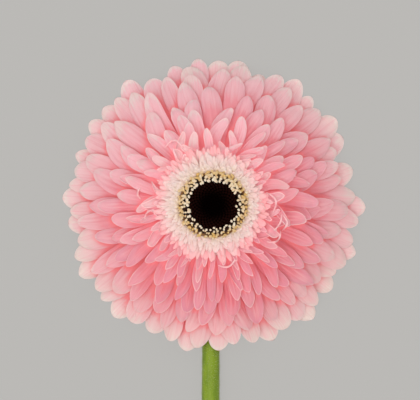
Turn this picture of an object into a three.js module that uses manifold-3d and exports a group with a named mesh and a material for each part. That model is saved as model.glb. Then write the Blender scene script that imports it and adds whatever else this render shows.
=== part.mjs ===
// A cut gerbera lying face up, in millimetres, +Z up.
//
// The head faces the sky and rests on the tips of its outermost petals. The stalk bends under the
// head at the neck and lies along the surface towards -Y. The head is a low dome: a receptacle,
// clasped by green bracts, carries a bed of achenes, and whorls of ray petals are stacked up the
// side of that bed, each whorl shorter and higher than the one outside it. Rings of short pale
// trans florets, a ring of anthers and the dark disc florets close the middle.
//
// Clock angles are in degrees, clockwise seen from above, with 0 towards +Y.

import * as THREE from "three";
import { mergeVertices } from "three/addons/utils/BufferGeometryUtils.js";
import Module from "manifold-3d";

const wasm = await Module();
wasm.setup();

// ---- Driving dimensions ----

const SEAT_GAP = 0.3; // left between one piece and the next that it sits on

const STALK = {
  neckRadius: 3.0,
  cutRadius: 4.0,
  length: 275, // from the head's axis to the cut end, along -Y
  neckX: -0.7, // where it leaves the head's outline
  sway: 9, // how far the cut end has bent sideways
  bendRadius: 13,
  bendAngle: 72,
  sides: 10,
  steps: 26, // along its length, closer together towards the neck
};

const RECEPTACLE = { radius: 14.2, bottom: 11.6, top: 20.0, neckRadius: 3.4, rings: 4 };

const BED = { topRadius: 12.5, top: 35.3 };

const ROUND = 24; // sides of a solid of revolution

// Each petal is [clock angle of its tip, reach of its tip from the head's axis].
const PETAL_WHORLS = [
  { width: 8.2, petals: [
    [2, 53.6], [10, 54.3], [20, 51.5], [34, 56.1], [42, 54.1], [55, 55.4], [62, 53.9], [75, 53.0],
    [90, 55.8], [108, 55.0], [125, 53.0], [138, 55.0], [156, 53.6], [178, 52.5], [191, 53.6], [206, 51.4],
    [222, 54.3], [230, 53.2], [243, 55.0], [250, 53.9], [263, 53.4], [274, 55.2], [291, 53.9],
    [304, 54.8], [312, 54.1], [325, 56.1], [344, 53.6], [354, 54.5]] },
  { width: 8.0, petals: [
    [13, 52.9], [27, 54.0], [48, 52.6], [66, 49.5], [85, 52.2], [95, 53.5], [104, 52.8],
    [113, 52.9], [119, 51.0], [133, 52.2], [142, 52.4], [148, 52.0], [163, 51.9], [172, 50.8],
    [187, 51.9], [198, 51.5], [216, 51.7], [235, 52.4], [256, 51.1], [268, 52.2], [279, 53.3],
    [285, 52.4], [298, 52.8], [318, 53.3], [333, 52.0], [341, 50.4], [350, 52.0]] },
  { width: 8.0, petals: [
    [5, 50.5], [20, 50.8], [34, 51.6], [41, 49.0], [60, 49.4], [71, 48.3], [77, 48.0],
    [91, 49.4], [101, 47.6], [112, 48.3], [124, 47.5], [134, 47.0], [151, 47.2], [165, 46.8],
    [179, 46.9], [191, 46.5], [203, 48.0], [215, 47.2], [229, 47.6], [242, 50.5], [264, 49.8],
    [277, 49.2], [291, 49.6], [306, 50.7], [324, 51.2], [349, 49.0]] },
  { width: 7.9, petals: [
    [9, 48.5], [28, 45.5], [51, 43.3], [70, 44.2], [88, 44.0], [103, 43.5], [116, 43.7],
    [128, 46.2], [141, 46.2], [159, 45.5], [172, 43.8], [186, 43.2], [195, 43.5], [208, 43.6],
    [220, 45.5], [241, 44.5], [255, 44.4], [270, 45.0], [286, 45.3], [302, 45.6], [311, 47.4],
    [330, 47.8], [347, 46.7], [358, 43.7]] },
  { width: 7.2, petals: [
    [17, 42.3], [27, 39.5], [38, 40.9], [52, 39.4], [65, 40.7], [75, 39.6], [92, 39.0],
    [108, 42.0], [123, 39.6], [137, 39.6], [145, 41.6], [161, 39.1], [169, 40.4], [182, 39.0],
    [196, 39.6], [210, 40.5], [227, 42.0], [240, 40.4], [251, 38.4], [272, 42.0], [288, 39.5],
    [305, 40.0], [325, 41.2], [339, 38.8], [351, 39.6]] },
  { width: 6.2, petals: [
    [11, 36.5], [34, 36.0], [47, 35.4], [60, 37.2], [76, 36.0], [87, 38.3], [98, 35.8],
    [111, 38.6], [126, 36.3], [139, 37.2], [152, 36.0], [166, 35.1], [177, 34.9], [188, 37.8],
    [202, 36.4], [216, 35.1], [237, 38.1], [249, 36.0], [262, 37.1], [276, 35.1], [289, 35.4],
    [301, 36.0], [318, 35.6], [340, 35.3], [349, 36.0]] },
  { width: 5.4, petals: [
    [5, 32.6], [19, 34.3], [33, 33.0], [53, 31.2], [69, 32.8], [81, 31.5], [94, 33.6],
    [104, 34.0], [127, 32.2], [134, 32.0], [155, 33.6], [163, 31.9], [180, 34.3], [192, 31.2],
    [204, 31.2], [213, 32.8], [231, 31.6], [248, 31.4], [262, 31.8], [288, 33.4], [300, 32.2],
    [309, 32.2], [327, 32.6], [344, 32.0]] },
  { width: 4.8, petals: [
    [17, 28.3], [33, 28.0], [46, 29.2], [64, 30.0], [73, 28.6], [96, 28.4], [108, 28.2],
    [122, 27.4], [136, 28.6], [148, 28.8], [161, 28.0], [174, 27.6], [192, 28.0], [206, 28.2],
    [217, 28.4], [226, 28.5], [246, 27.2], [257, 27.0], [270, 27.8], [296, 28.0], [312, 28.4],
    [331, 29.2], [343, 28.0], [356, 28.6]] },
  { width: 4.2, petals: [
    [8, 23.9], [22, 25.3], [36, 24.3], [49, 24.8], [62, 24.1], [87, 26.0], [98, 24.2],
    [105, 25.8], [118, 24.4], [131, 24.6], [146, 25.0], [160, 24.6], [181, 26.0], [194, 23.2],
    [208, 24.6], [221, 24.4], [233, 24.8], [250, 24.0], [262, 24.2], [278, 25.8], [292, 24.0],
    [304, 24.3], [318, 25.0], [341, 24.8]] },
  { width: 3.4, petals: [
    [4, 21.3], [18, 22.1], [35, 21.8], [55, 22.1], [66, 21.2], [80, 21.6], [96, 21.6],
    [113, 21.2], [125, 21.4], [141, 21.6], [156, 21.4], [171, 21.4], [188, 21.8], [204, 21.4],
    [220, 21.5], [234, 21.6], [248, 21.5], [262, 21.5], [280, 21.6], [298, 21.8], [311, 22.3],
    [325, 21.6], [342, 21.8]] },
];

const PETAL = {
  thickness: 0.5,
  tipThinning: 0.4, // share of the thickness left at the very tip
  foot: 20.9, // height of the outermost whorl's feet
  step: 1.34, // from one whorl's feet up to the next
  restRadius: 54.3, // where the outermost whorl meets the surface
  reflex: 1.7, // how sharply it curves down to there
  tipLift: 1.0, // how far each further whorl's tips rise off the whorl under it...
  liftedWhorls: 3, // ...up to this whorl
  alternate: 0.36, // neighbours lie this far above and below the whorl's surface...
  partBy: 2.6, // ...once this many times their distance out is the whole length
  widest: 0.7, // the share of the petal's length at which it is widest
  bluntness: 2.4, // of its tip: 2 is round, more is squarer
  stalkLift: 6.6, // how far the stalk pushes up the outermost petals that lie over it
  stalkLiftFade: 5, // whorls over which that push dies away
  stalkLiftHalf: 9, // clock angle either side of the stalk that is pushed up fully
  stalkLiftEnd: 24, // and at all
};

// A frill's florets part at its notch radius and end in a point at its reach.
const TRANS_FRILLS = [
  { name: "trans_florets_outer", count: 34, inner: 13.0, notch: 16.6, reach: 20.2, foot: 34.1, tip: 36.6 },
  { name: "trans_florets_inner", count: 30, inner: 11.7, notch: 14.6, reach: 17.6, foot: 35.6, tip: 37.8 },
];
const FRILL_THICKNESS = 0.6;

const ANTHERS = { inner: 9.3, outer: 11.2, foot: 35.6, top: 37.0, count: 24, knob: 0.8, height: 2.2 };

const DISC = { radius: 8.9, foot: 35.6, rim: 36.9, crown: 37.7, buds: 24, bud: 0.8, budHeight: 1.3 };

// Bracts clasp the receptacle at a distance of skin, and their tips stand off by flare more.
const BRACT_ROWS = [
  { name: "bracts_outer", count: 11, foot: 12.6, top: 15.6, width: 3.6, skin: 3.0, flare: 1.0 },
  { name: "bracts_middle", count: 12, foot: 12.9, top: 17.4, width: 3.8, skin: 1.8, flare: 1.6 },
  { name: "bracts_inner", count: 13, foot: 13.2, top: 19.0, width: 4.0, skin: 0.6, flare: 2.3 },
];
const BRACT_THICKNESS = 0.5;

// ---- Materials ----

const matte = (color, roughness) => new THREE.MeshStandardMaterial({ color, roughness, metalness: 0 });
const MATERIALS = {
  stalk: matte(0x84982f, 0.55),
  green: matte(0x6f8a35, 0.65),
  bed: matte(0xe3dcc4, 0.9),
  petal: matte(0xf0a6ad, 0.6),
  trans: matte(0xf4dcd2, 0.65),
  anther: matte(0xe2c98a, 0.6),
  disc: matte(0x170607, 0.7),
};

// ---- Helpers ----

const { clamp, lerp, degToRad, radToDeg, smoothstep } = THREE.MathUtils;
const TURN = 2 * Math.PI;

// A point at this clock angle in radians, distance from the head's axis and height.
const clockPoint = (clock, r, z) => new THREE.Vector3(r * Math.sin(clock), r * Math.cos(clock), z);

// A closed three.js geometry as a solid that can be joined and cut.
function toSolid(geometry) {
  const bare = geometry.clone();
  bare.deleteAttribute("normal");
  bare.deleteAttribute("uv");
  const merged = mergeVertices(bare, 1e-4);
  return new wasm.Manifold(
    new wasm.Mesh({
      numProp: 3,
      vertProperties: merged.attributes.position.array,
      triVerts: new Uint32Array(merged.index.array),
    }),
  );
}

function toGeometry(solid) {
  const mesh = solid.getMesh();
  const geometry = new THREE.BufferGeometry();
  geometry.setAttribute("position", new THREE.BufferAttribute(new Float32Array(mesh.vertProperties), 3));
  geometry.setIndex(new THREE.BufferAttribute(new Uint32Array(mesh.triVerts), 1));
  geometry.computeVertexNormals();
  return geometry;
}

const join = (geometries) => toGeometry(wasm.Manifold.union(geometries.map(toSolid)));

// A solid of revolution about Z. The profile is a list of [radius, height], from the bottom up.
function turned(profile) {
  const points = profile.map(([r, z]) => new THREE.Vector2(r, z));
  return new THREE.LatheGeometry(points, ROUND).rotateX(Math.PI / 2);
}

// A blade: a flattened cylinder laid along a path that leads away from the head's axis, with its
// rings closer together towards the tip. place(t, u) gives the clock angle, radius, height and
// slope of the middle of its thickness, t of the way along it and u of its half width to the
// side, and the half thickness there.
function blade(place, sides, steps) {
  const geometry = new THREE.CylinderGeometry(1, 1, 1, sides, steps);
  const at = geometry.attributes.position;
  const v = new THREE.Vector3();
  for (let i = 0; i < at.count; i += 1) {
    v.fromBufferAttribute(at, i);
    const { clock, r, z, slope, halfThickness } = place(1 - (0.5 - v.y) ** 1.5, v.x);
    const lift = v.z * halfThickness;
    const p = clockPoint(clock, r - lift * Math.sin(slope), z + lift * Math.cos(slope));
    at.setXYZ(i, p.x, p.y, p.z);
  }
  return geometry;
}

// ---- Stalk ----

const stalkX = (y) => {
  const along = clamp(-y / STALK.length, 0, 1);
  return STALK.neckX * Math.min(1, 8 * along) - STALK.sway * along ** 3;
};

const stalkRadius = (y) => lerp(STALK.neckRadius, STALK.cutRadius, clamp(-y / STALK.length, 0, 1));

// The stalk's centre line: along the surface, then up through the bend at the neck.
class StalkCurve extends THREE.Curve {
  getPoint(t, target = new THREE.Vector3()) {
    const bend = degToRad(STALK.bendAngle);
    const bendStart = -STALK.bendRadius * Math.sin(bend);
    const straight = STALK.length + bendStart;
    const s = t * (straight + STALK.bendRadius * bend);
    if (s <= straight) {
      const y = -STALK.length + s;
      return target.set(stalkX(y), y, stalkRadius(y));
    }
    const turn = (s - straight) / STALK.bendRadius;
    const y = bendStart + STALK.bendRadius * Math.sin(turn);
    const z = stalkRadius(bendStart) + STALK.bendRadius * (1 - Math.cos(turn));
    return target.set(stalkX(Math.min(y, 0)), y, z);
  }
}

// The stalk is laid along its centre line and cut level under the receptacle.
function stalkGeometry() {
  const curve = new StalkCurve();
  const geometry = new THREE.CylinderGeometry(1, 1, 1, STALK.sides, STALK.steps);
  const at = geometry.attributes.position;
  const v = new THREE.Vector3();
  for (let i = 0; i < at.count; i += 1) {
    v.fromBufferAttribute(at, i);
    const t = 1 - (0.5 - v.y) ** 1.7;
    const centre = curve.getPoint(t);
    const ahead = curve.getPoint(Math.min(1, t + 1e-3));
    const behind = curve.getPoint(Math.max(0, t - 1e-3));
    const slope = Math.atan2(ahead.z - behind.z, ahead.y - behind.y);
    const r = stalkRadius(centre.y);
    const up = v.z * r;
    at.setXYZ(i, centre.x + v.x * r, centre.y - up * Math.sin(slope), centre.z + up * Math.cos(slope));
  }
  const size = 10 * STALK.neckRadius;
  const above = new THREE.BoxGeometry(size, size, size);
  above.translate(0, 0, RECEPTACLE.bottom - SEAT_GAP + size / 2);
  return toGeometry(toSolid(geometry).subtract(toSolid(above)));
}

// ---- Receptacle, bracts and bed ----

const receptacleRadius = (z) => {
  const t = clamp((z - RECEPTACLE.bottom) / (RECEPTACLE.top - RECEPTACLE.bottom), 0, 1);
  return lerp(RECEPTACLE.neckRadius, RECEPTACLE.radius, Math.sin((t * Math.PI) / 2) ** 0.9);
};

function receptacleGeometry() {
  const profile = [[0, RECEPTACLE.bottom]];
  for (let i = 0; i <= RECEPTACLE.rings; i += 1) {
    const z = lerp(RECEPTACLE.bottom, RECEPTACLE.top, i / RECEPTACLE.rings);
    profile.push([receptacleRadius(z), z]);
  }
  profile.push([0, RECEPTACLE.top]);
  return turned(profile);
}

const BED_FOOT = RECEPTACLE.top + SEAT_GAP;

const bedRadius = (z) => lerp(RECEPTACLE.radius, BED.topRadius, (z - BED_FOOT) / (BED.top - BED_FOOT));

const bedGeometry = () =>
  turned([[0, BED_FOOT], [bedRadius(BED_FOOT), BED_FOOT], [bedRadius(BED.top), BED.top], [0, BED.top]]);

// A row of pointed bracts that clasp the receptacle, joined at their feet.
function bractGeometry({ count, foot, top, width, skin, flare }) {
  const spacing = TURN / count;
  const heightAt = (t) => lerp(foot, top, t * t);
  const radiusAt = (t) => receptacleRadius(heightAt(t)) + skin + flare * t ** 3;
  const bracts = [];
  for (let i = 0; i < count; i += 1) {
    const place = (t, u) => {
      const r = radiusAt(t);
      const leafHalf = (width / 2) * Math.sqrt(Math.max(0.03, 1 - t * t));
      const footHalf = 0.55 * spacing * r * Math.max(0, 1 - 5 * t);
      const slope = Math.atan2(heightAt(t + 0.01) - heightAt(t), radiusAt(t + 0.01) - r);
      const clock = spacing * i + (u * Math.max(leafHalf, footHalf)) / r;
      return { clock, r, z: heightAt(t), slope, halfThickness: BRACT_THICKNESS / 2 };
    };
    bracts.push(blade(place, 4, 3));
  }
  return join(bracts);
}

// ---- Ray petals ----

const meanReach = (petals) => petals.reduce((sum, [, reach]) => sum + reach, 0) / petals.length;

const footHeight = (k) => PETAL.foot + PETAL.step * k;

// The push of the stalk on petals at this clock angle, from 0 to 1.
const stalkClock = 180 - radToDeg(Math.atan2(stalkX(-PETAL.restRadius), PETAL.restRadius));
const stalkPush = (clock) =>
  1 - smoothstep(Math.abs(clock - stalkClock), PETAL.stalkLiftHalf, PETAL.stalkLiftEnd);

// The height of whorl k's surface at a radius and a clock angle.
function whorlHeight(k, usualReach, r, clock) {
  const inner = bedRadius(footHeight(k)) + SEAT_GAP;
  const toRest = clamp((r - inner) / (PETAL.restRadius - inner), 0, 1);
  const toTip = clamp((r - inner) / (usualReach - inner), 0, 1.1);
  const under = PETAL.foot * (1 - toRest ** PETAL.reflex) + PETAL.step * k;
  const ownLift = PETAL.tipLift * Math.min(k, PETAL.liftedWhorls);
  const pushed = PETAL.stalkLift * Math.max(0, 1 - k / PETAL.stalkLiftFade) * stalkPush(clock);
  return under + (ownLift + pushed) * toTip ** 2;
}

// How far a petal has widened from its foot towards its widest, and narrowed again to its tip.
const petalOutline = (t) => {
  if (t < PETAL.widest) return Math.sin((Math.PI / 2) * (t / PETAL.widest));
  const beyond = (t - PETAL.widest) / (1 - PETAL.widest);
  return Math.sqrt(Math.max(0, 1 - beyond ** PETAL.bluntness));
};

// Each petal of whorl k as a path for blade(). Feet are evenly spaced round the bed.
function petalPaths({ width, petals }, k, footWidthShare) {
  const inner = bedRadius(footHeight(k)) + SEAT_GAP;
  const usual = meanReach(petals);
  const spacing = 360 / petals.length;
  const offset = petals.reduce((sum, [clock], i) => sum + clock - i * spacing, 0) / petals.length;
  const footWidth = ((TURN * inner) / petals.length) * footWidthShare;
  return petals.map(([tipClock, reach], i) => {
    const footClock = offset + i * spacing;
    const side = i % 2 === 0 ? -1 : 1;
    const heightAt = (r, clock, t) => {
      const raise = side * PETAL.alternate * Math.min(1, PETAL.partBy * t);
      return Math.max(PETAL.thickness / 2, whorlHeight(k, usual, r, clock) + raise);
    };
    return (t, u) => {
      const along = lerp(inner, reach, t);
      const aside = (u * lerp(footWidth, width, petalOutline(t))) / 2;
      const r = Math.hypot(along, aside);
      const bend = lerp(footClock, tipClock, Math.sin((t * Math.PI) / 2));
      const clock = bend + radToDeg(Math.atan2(aside, along));
      const z = heightAt(r, clock, t);
      const slope = Math.atan2(heightAt(r + 0.1, clock, t) - z, 0.1);
      const thinned = t < 1 ? 1 : PETAL.tipThinning;
      return { clock: degToRad(clock), r, z, slope, halfThickness: (PETAL.thickness / 2) * thinned };
    };
  });
}

// The outermost petals stand clear of each other at their feet.
const outerPetals = (whorl) => petalPaths(whorl, 0, 0.85).map((place) => blade(place, 4, 4));

// The petals of every other whorl are grown together at their feet. The small ones are
// three-sided, so their feet are wider in order to meet.
function whorlGeometry(whorl, k) {
  const large = k < 4;
  const paths = petalPaths(whorl, k, large ? 1.15 : 1.33);
  return join(paths.map((place) => (large ? blade(place, 4, 4) : blade(place, 3, 3))));
}

// ---- Middle of the head ----

// A frill of short pointed florets, grown together at their feet, that rises outwards.
function frillGeometry({ count, inner, notch, reach, foot, tip }) {
  const frill = new THREE.Shape();
  for (let i = 0; i < count; i += 1) {
    const point = clockPoint((TURN * i) / count, reach, 0);
    const dip = clockPoint((TURN * (i + 0.5)) / count, notch, 0);
    if (i === 0) frill.moveTo(point.x, point.y);
    else frill.lineTo(point.x, point.y);
    frill.lineTo(dip.x, dip.y);
  }
  frill.closePath();
  const hole = new THREE.Path();
  hole.absarc(0, 0, inner, 0, TURN);
  frill.holes.push(hole);
  const options = { depth: FRILL_THICKNESS, bevelEnabled: false, curveSegments: 10 };
  const geometry = new THREE.ExtrudeGeometry(frill, options);
  const at = geometry.attributes.position;
  for (let i = 0; i < at.count; i += 1) {
    const outwards = (Math.hypot(at.getX(i), at.getY(i)) - inner) / (reach - inner);
    at.setZ(i, at.getZ(i) + lerp(foot, tip, Math.sin((outwards * Math.PI) / 2)));
  }
  return geometry;
}

// A ring of short anther tubes on a common foot.
function antherGeometry() {
  const { inner, outer, foot, top, count, knob, height } = ANTHERS;
  const parts = [turned([[inner, foot], [outer, foot], [outer, top], [inner, top], [inner, foot]])];
  for (let i = 0; i < count; i += 1) {
    const row = i % 2 === 0 ? 1 / 3 : 2 / 3;
    const p = clockPoint((TURN * i) / count, lerp(inner, outer, row), top + height * 0.3);
    const tube = new THREE.CylinderGeometry(knob * 0.6, knob, height, 4, 1);
    parts.push(tube.rotateX(Math.PI / 2).translate(p.x, p.y, p.z));
  }
  return join(parts);
}

// The disc: a low cushion with its closed buds in a spiral.
function discGeometry() {
  const { radius, foot, rim, crown, buds, bud, budHeight } = DISC;
  const parts = [turned([[0, foot], [radius, foot], [radius, rim], [radius / 2, crown], [0, crown]])];
  const golden = Math.PI * (3 - Math.sqrt(5));
  for (let i = 0; i < buds; i += 1) {
    const r = (radius - bud) * Math.sqrt((i + 0.5) / buds);
    const p = clockPoint(i * golden, r, lerp(crown, rim, r / radius) + 0.4);
    const cone = new THREE.ConeGeometry(bud, budHeight, 5, 1);
    parts.push(cone.rotateX(Math.PI / 2).translate(p.x, p.y, p.z));
  }
  return join(parts);
}

// ---- Assembly ----

const flower = new THREE.Group();
const add = (name, geometry, material) => {
  const mesh = new THREE.Mesh(geometry, material);
  mesh.name = name;
  flower.add(mesh);
};
const twoDigits = (n) => String(n).padStart(2, "0");

add("stalk", stalkGeometry(), MATERIALS.stalk);
add("receptacle", receptacleGeometry(), MATERIALS.green);
BRACT_ROWS.forEach((row) => add(row.name, bractGeometry(row), MATERIALS.green));
add("achene_bed", bedGeometry(), MATERIALS.bed);
outerPetals(PETAL_WHORLS[0]).forEach((g, i) => add(`ray_petal_${twoDigits(i + 1)}`, g, MATERIALS.petal));
PETAL_WHORLS.slice(1).forEach((whorl, i) =>
  add(`ray_whorl_${twoDigits(i + 2)}`, whorlGeometry(whorl, i + 1), MATERIALS.petal),
);
TRANS_FRILLS.forEach((frill) => add(frill.name, frillGeometry(frill), MATERIALS.trans));
add("anther_ring", antherGeometry(), MATERIALS.anther);
add("disc_florets", discGeometry(), MATERIALS.disc);

// The part's origin is the middle of the outline that the flower covers on the surface.
const outline = new THREE.Box3().setFromObject(flower);
const centre = outline.getCenter(new THREE.Vector3());
flower.position.set(-centre.x, -centre.y, -outline.min.z);

const part = new THREE.Group();
part.add(flower);

export default part;
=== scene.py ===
import math

import bpy
import numpy as np
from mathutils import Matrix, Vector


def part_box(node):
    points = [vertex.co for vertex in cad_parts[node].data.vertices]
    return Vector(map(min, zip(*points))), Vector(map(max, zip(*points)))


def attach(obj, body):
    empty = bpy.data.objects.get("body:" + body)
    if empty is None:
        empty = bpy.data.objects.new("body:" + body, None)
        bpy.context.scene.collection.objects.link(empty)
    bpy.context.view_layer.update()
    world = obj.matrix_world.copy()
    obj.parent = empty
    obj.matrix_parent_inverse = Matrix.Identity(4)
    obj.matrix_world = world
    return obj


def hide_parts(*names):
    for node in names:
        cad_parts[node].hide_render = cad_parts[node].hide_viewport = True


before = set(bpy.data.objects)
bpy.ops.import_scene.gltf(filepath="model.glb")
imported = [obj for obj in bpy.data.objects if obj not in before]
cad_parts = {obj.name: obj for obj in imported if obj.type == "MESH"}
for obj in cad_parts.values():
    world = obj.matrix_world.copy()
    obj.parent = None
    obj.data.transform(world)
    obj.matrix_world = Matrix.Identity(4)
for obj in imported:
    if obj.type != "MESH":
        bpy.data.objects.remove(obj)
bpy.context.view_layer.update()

# Sizes are in millimetres, and heights are above the surface that the flower lies on. A clock
# angle runs clockwise seen from above, with 0 towards +Y and the stalk near 180. It is in degrees
# in the tables and for petals, florets and lights, and in radians elsewhere.

MM = 0.001
TURN = 2 * math.pi
SEED = 7

# ---- The shape that the frame's solids follow ----

SEAT_GAP = 0.3
STALK_NECK_RADIUS = 3.0
STALK_CUT_RADIUS = 4.0
STALK_LENGTH = 275.0
STALK_NECK_X = -0.7
STALK_SWAY = 9.0
STALK_BEND_RADIUS = 13.0
STALK_BEND_ANGLE = math.radians(72)

RECEPTACLE_RADIUS = 14.2
RECEPTACLE_BOTTOM = 11.6
RECEPTACLE_TOP = 20.0
RECEPTACLE_NECK_RADIUS = 3.4
BED_FOOT = RECEPTACLE_TOP + SEAT_GAP
BED_TOP = 35.3
BED_TOP_RADIUS = 12.5

PETAL_FOOT = 20.9
WHORL_STEP = 1.34
REST_RADIUS = 54.3
REFLEX = 1.7
TIP_LIFT = 1.0
LIFTED_WHORLS = 3
INNER_TIP_LIFT = 0.35
ALTERNATE = 0.36
PART_BY = 2.6
STALK_LIFT = 6.6
STALK_LIFT_FADE = 5
STALK_LIFT_HALF = 9.0
STALK_LIFT_END = 24.0

# Each petal's (clock angle of its tip, reach of its tip from the head's axis), whorl by whorl from
# the outermost one inwards.
PETAL_WHORLS = [
    [(2, 53.6), (10, 54.3), (20, 51.5), (34, 56.1), (42, 54.1), (55, 55.4), (62, 53.9), (75, 53.0),
     (90, 55.8), (108, 55.0), (125, 53.0), (138, 55.0), (156, 53.6), (178, 52.5), (191, 53.6),
     (206, 51.4), (222, 54.3), (230, 53.2), (243, 55.0), (250, 53.9), (263, 53.4), (274, 55.2),
     (291, 53.9), (304, 54.8), (312, 54.1), (325, 56.1), (344, 53.6), (354, 54.5)],
    [(13, 52.9), (27, 54.0), (48, 52.6), (66, 49.5), (85, 52.2), (95, 53.5), (104, 52.8), (113, 52.9),
     (119, 51.0), (133, 52.2), (142, 52.4), (148, 52.0), (163, 51.9), (172, 50.8), (187, 51.9),
     (198, 51.5), (216, 51.7), (235, 52.4), (256, 51.1), (268, 52.2), (279, 53.3), (285, 52.4),
     (298, 52.8), (318, 53.3), (333, 52.0), (341, 50.4), (350, 52.0)],
    [(5, 50.5), (20, 50.8), (34, 51.6), (41, 49.0), (60, 49.4), (71, 48.3), (77, 48.0), (91, 49.4),
     (101, 47.6), (112, 48.3), (124, 47.5), (134, 47.0), (151, 47.2), (165, 46.8), (179, 46.9),
     (191, 46.5), (203, 48.0), (215, 47.2), (229, 47.6), (242, 50.5), (264, 49.8), (277, 49.2),
     (291, 49.6), (306, 50.7), (324, 51.2), (349, 49.0)],
    [(9, 48.5), (28, 45.5), (51, 43.3), (70, 44.2), (88, 44.0), (103, 43.5), (116, 43.7), (128, 46.2),
     (141, 46.2), (159, 45.5), (172, 43.8), (186, 43.2), (195, 43.5), (208, 43.6), (220, 45.5),
     (241, 44.5), (255, 44.4), (270, 45.0), (286, 45.3), (302, 45.6), (311, 47.4), (330, 47.8),
     (347, 46.7), (358, 43.7)],
    [(17, 42.3), (27, 39.5), (38, 40.9), (52, 39.4), (65, 40.7), (75, 39.6), (92, 39.0), (108, 42.0),
     (123, 39.6), (137, 39.6), (145, 41.6), (161, 39.1), (169, 40.4), (182, 39.0), (196, 39.6),
     (210, 40.5), (227, 42.0), (240, 40.4), (251, 38.4), (272, 42.0), (288, 39.5), (305, 40.0),
     (325, 41.2), (339, 38.8), (351, 39.6)],
    [(11, 36.5), (34, 36.0), (47, 35.4), (60, 37.2), (76, 36.0), (87, 38.3), (98, 35.8), (111, 38.6),
     (126, 36.3), (139, 37.2), (152, 36.0), (166, 35.1), (177, 34.9), (188, 37.8), (202, 36.4),
     (216, 35.1), (237, 38.1), (249, 36.0), (262, 37.1), (276, 35.1), (289, 35.4), (301, 36.0),
     (318, 35.6), (340, 35.3), (349, 36.0)],
    [(5, 32.6), (19, 34.3), (33, 33.0), (53, 31.2), (69, 32.8), (81, 31.5), (94, 33.6), (104, 34.0),
     (127, 32.2), (134, 32.0), (155, 33.6), (163, 31.9), (180, 34.3), (192, 31.2), (204, 31.2),
     (213, 32.8), (231, 31.6), (248, 31.4), (262, 31.8), (288, 33.4), (300, 32.2), (309, 32.2),
     (327, 32.6), (344, 32.0)],
    [(17, 28.3), (33, 28.0), (46, 29.2), (64, 30.0), (73, 28.6), (96, 28.4), (108, 28.2), (122, 27.4),
     (136, 28.6), (148, 28.8), (161, 28.0), (174, 27.6), (192, 28.0), (206, 28.2), (217, 28.4),
     (226, 28.5), (246, 27.2), (257, 27.0), (270, 27.8), (296, 28.0), (312, 28.4), (331, 29.2),
     (343, 28.0), (356, 28.6)],
    [(8, 23.9), (22, 25.3), (36, 24.3), (49, 24.8), (62, 24.1), (87, 26.0), (98, 24.2), (105, 25.8),
     (118, 24.4), (131, 24.6), (146, 25.0), (160, 24.6), (181, 26.0), (194, 23.2), (208, 24.6),
     (221, 24.4), (233, 24.8), (250, 24.0), (262, 24.2), (278, 25.8), (292, 24.0), (304, 24.3),
     (318, 25.0), (341, 24.8)],
    [(4, 21.3), (18, 22.1), (35, 21.8), (55, 22.1), (66, 21.2), (80, 21.6), (96, 21.6), (113, 21.2),
     (125, 21.4), (141, 21.6), (156, 21.4), (171, 21.4), (188, 21.8), (204, 21.4), (220, 21.5),
     (234, 21.6), (248, 21.5), (262, 21.5), (280, 21.6), (298, 21.8), (311, 22.3), (325, 21.6),
     (342, 21.8)],
]

# The usual width of each whorl's petals where they are broadest.
SHOWN_WIDTHS = (9.0, 8.6, 7.8, 7.2, 6.3, 5.4, 4.6, 3.7, 3.0, 2.5)

# The widths of petals that stand out in the photograph, by whorl and clock angle.
STANDOUT_WIDTHS = {
    (0, 10): 9.2, (0, 20): 9.4, (0, 55): 9.4, (0, 90): 9.8, (0, 138): 9.6, (0, 156): 9.4,
    (0, 178): 8.8, (0, 206): 9.6, (0, 230): 7.2, (0, 243): 9.8, (0, 250): 8.2, (0, 325): 9.8,
    (1, 13): 9.6, (1, 48): 9.4, (1, 85): 9.6, (1, 113): 9.4, (1, 119): 9.2, (1, 142): 9.4,
    (1, 148): 9.4, (1, 187): 9.0, (1, 216): 9.2, (1, 235): 9.0, (1, 341): 6.6, (3, 51): 8.8,
    (3, 311): 8.6,
}

# Petals near the frill that roll up at the sides and hook round, by whorl and clock angle: how far
# the tip is pushed aside, clockwise where positive.
HOOKED_PETALS = {
    (6, 104): -3.0, (7, 96): 3.6, (7, 108): -3.4, (8, 87): -2.6, (8, 105): 3.4, (8, 118): -3.0,
    (9, 96): 2.4, (7, 331): 3.6, (8, 318): 3.2, (8, 341): -3.0, (9, 325): 2.4, (8, 262): 3.0,
    (7, 246): -2.8, (8, 278): -2.6,
}

# Petals near the frill that are rolled up so far that little but their pale rim shows: where the
# rim starts and where it ends, as (clock angle, distance from the axis), and how far it bows out.
ROLLED_PETALS = [
    ((75, 19.8), (95, 21.7), 2.3),
    ((96, 24.9), (111, 23.5), 0.8),
    ((97, 25.5), (109, 26.3), 1.6),
    ((123, 23.0), (109, 25.8), 2.2),
    ((157, 20.5), (175, 21.1), 1.7),
    ((267, 21.1), (260, 25.0), 1.1),
    ((285, 27.0), (276, 26.3), 1.1),
    ((323, 20.5), (326, 25.6), 0.3),
    ((333, 23.8), (321, 27.6), 2.7),
]

bed_low, bed_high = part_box("achene_bed")
AXIS_X = (bed_low.x + bed_high.x) / 2 / MM
AXIS_Y = (bed_low.y + bed_high.y) / 2 / MM
SURFACE_Z = bed_low.z / MM - BED_FOOT


def lerp(a, b, t):
    """The value that is a share t of the way from a to b."""
    return a + (b - a) * t


def smooth(low, high, x):
    """0 up to low and 1 from high on, with a soft step between them."""
    t = np.clip((x - low) / (high - low), 0, 1)
    return t * t * (3 - 2 * t)


def bed_radius(z):
    return lerp(RECEPTACLE_RADIUS, BED_TOP_RADIUS, (z - BED_FOOT) / (BED_TOP - BED_FOOT))


def up_receptacle(z):
    """The share of the receptacle's height that is below z."""
    return np.clip((z - RECEPTACLE_BOTTOM) / (RECEPTACLE_TOP - RECEPTACLE_BOTTOM), 0, 1)


def receptacle_radius(z):
    rounded = np.sin(up_receptacle(z) * math.pi / 2) ** 0.9
    return lerp(RECEPTACLE_NECK_RADIUS, RECEPTACLE_RADIUS, rounded)


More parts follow.
